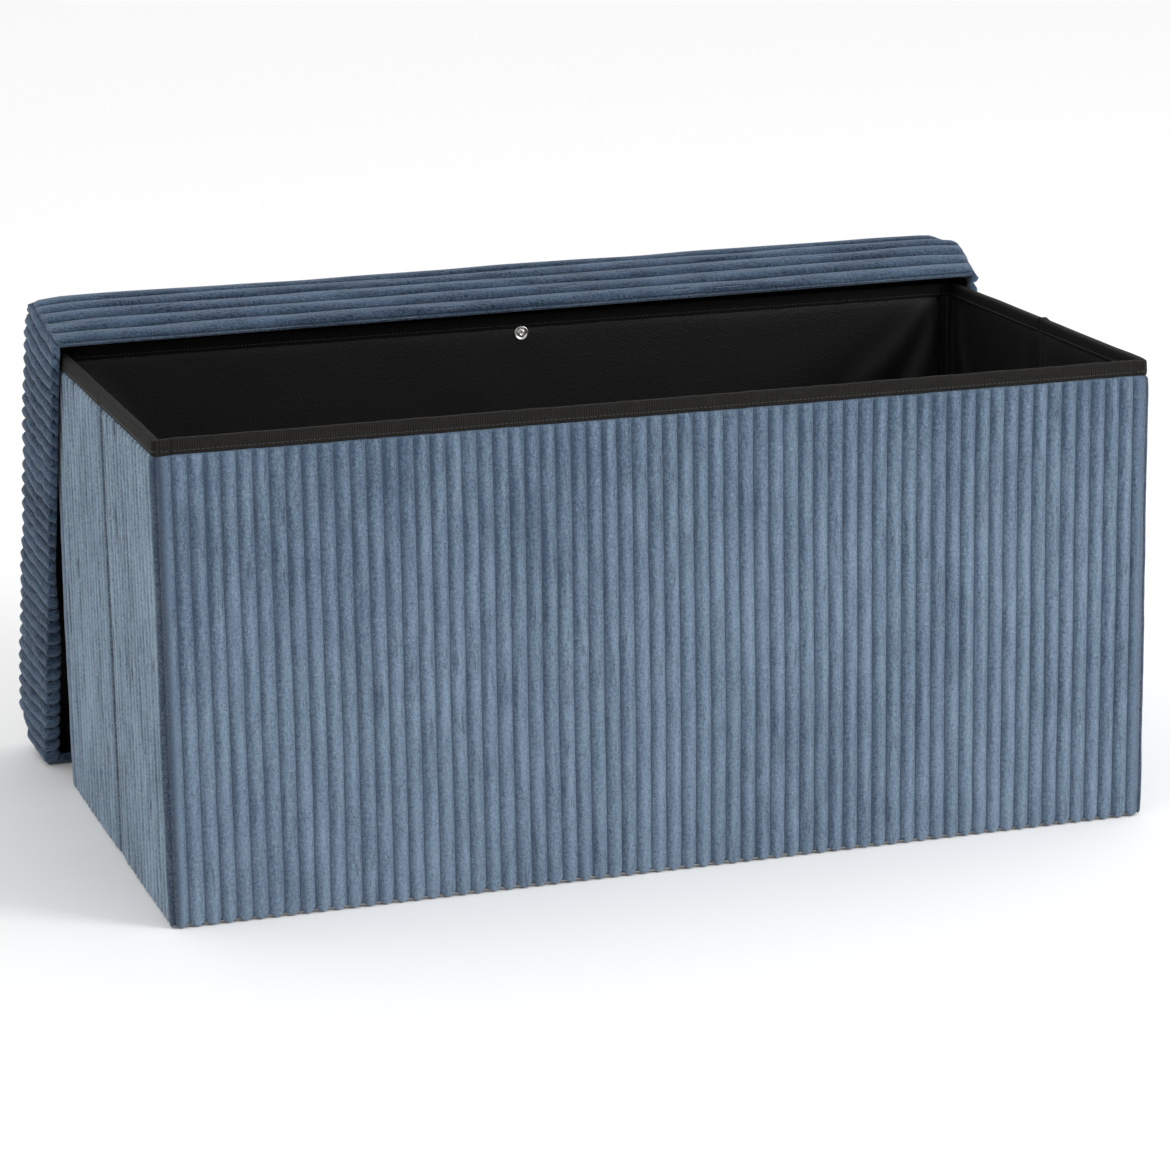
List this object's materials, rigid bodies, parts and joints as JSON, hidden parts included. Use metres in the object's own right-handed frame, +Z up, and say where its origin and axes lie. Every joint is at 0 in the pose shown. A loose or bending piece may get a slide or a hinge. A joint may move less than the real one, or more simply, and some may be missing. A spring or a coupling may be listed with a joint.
{
  "type": "storage bench",
  "caption": "Folding fabric storage bench: open corduroy box with creased short sides, base flap with press stud, and a separate padded lid leaning behind it.",
  "frame": {"origin": "on the floor under the middle of the box, at the underside of its base flap", "axes": "+X along the bench's length to its right end, +Y to the back where the lid leans, +Z up"},
  "size_m": [0.7848, 0.52, 0.3928],
  "materials": {
    "box_corduroy": "blue-grey wide-wale velvet corduroy, ribs upright",
    "lid_corduroy": "the same corduroy, ribs along the lid's length",
    "lining_cloth": "black non-woven lining cloth, soft wrinkles",
    "binding_tape": "dark warm-grey grosgrain binding tape",
    "fibreboard": "thin brown fibreboard stiffener",
    "foam_pad": "pale open-cell foam sheet",
    "snap_metal": "nickel-plated press stud"
  },
  "bodies": {
    "back_wall": {"back_board": "fibreboard", "back_cover": "box_corduroy", "back_lining": "lining_cloth", "back_binding": "binding_tape", "snap_stud": "snap_metal"},
    "front_wall": {"front_board": "fibreboard", "front_cover": "box_corduroy", "front_lining": "lining_cloth", "front_binding": "binding_tape"},
    "left_rear_wall": {"left_rear_board": "fibreboard", "left_rear_cover": "box_corduroy", "left_rear_lining": "lining_cloth", "left_rear_binding": "binding_tape"},
    "left_front_wall": {"left_front_board": "fibreboard", "left_front_cover": "box_corduroy", "left_front_lining": "lining_cloth", "left_front_binding": "binding_tape"},
    "right_rear_wall": {"right_rear_board": "fibreboard", "right_rear_cover": "box_corduroy", "right_rear_lining": "lining_cloth", "right_rear_binding": "binding_tape"},
    "right_front_wall": {"right_front_board": "fibreboard", "right_front_cover": "box_corduroy", "right_front_lining": "lining_cloth", "right_front_binding": "binding_tape"},
    "base_flap": {"base_board": "fibreboard", "base_sleeve": "lining_cloth", "snap_socket": "snap_metal"},
    "lid": {"lid_cover": "lid_corduroy", "lid_foam": "foam_pad", "lid_board": "fibreboard", "lid_front_rail": "fibreboard", "lid_rear_rail": "fibreboard", "lid_left_rail": "fibreboard", "lid_right_rail": "fibreboard", "lid_lining": "lining_cloth"}
  },
  "joints": [
    {"name": "fold", "type": "hinge", "parent": "back_wall", "child": "left_rear_wall", "pos_m": [-0.3682, 0.1712, 0.18], "axis": [0, 0, 1], "range_deg": [0, 89.9]},
    {"name": "left_crease", "type": "hinge", "parent": "left_rear_wall", "child": "left_front_wall", "pos_m": [-0.3764, -0.00275, 0.18], "axis": [0, 0, 1], "range_deg": [-179.8, 0]},
    {"name": "front_left_corner", "type": "hinge", "parent": "left_front_wall", "child": "front_wall", "pos_m": [-0.3682, -0.1767, 0.18], "axis": [0, 0, 1], "range_deg": [0, 89.9]},
    {"name": "back_right_corner", "type": "hinge", "parent": "back_wall", "child": "right_rear_wall", "pos_m": [0.3682, 0.1712, 0.18], "axis": [0, 0, 1], "range_deg": [-89.9, 0]},
    {"name": "front_right_corner", "type": "hinge", "parent": "front_wall", "child": "right_front_wall", "pos_m": [0.3682, -0.1767, 0.18], "axis": [0, 0, 1], "range_deg": [0, 89.9]},
    {"name": "base_hinge", "type": "hinge", "parent": "back_wall", "child": "base_flap", "pos_m": [0, 0.1767, 0.0036], "axis": [-1, 0, 0], "range_deg": [0, 89.7]},
    {"name": "lid_lift", "type": "slide", "parent": "back_wall", "child": "lid", "axis": [0, 0, 1], "range_m": [0, 0.37]}
  ],
  "couplings": [
    {"joint": "left_crease", "follows": "fold", "ratio": -2},
    {"joint": "front_left_corner", "follows": "fold", "ratio": 1},
    {"joint": "back_right_corner", "follows": "fold", "ratio": -1},
    {"joint": "front_right_corner", "follows": "fold", "ratio": 1}
  ]
}
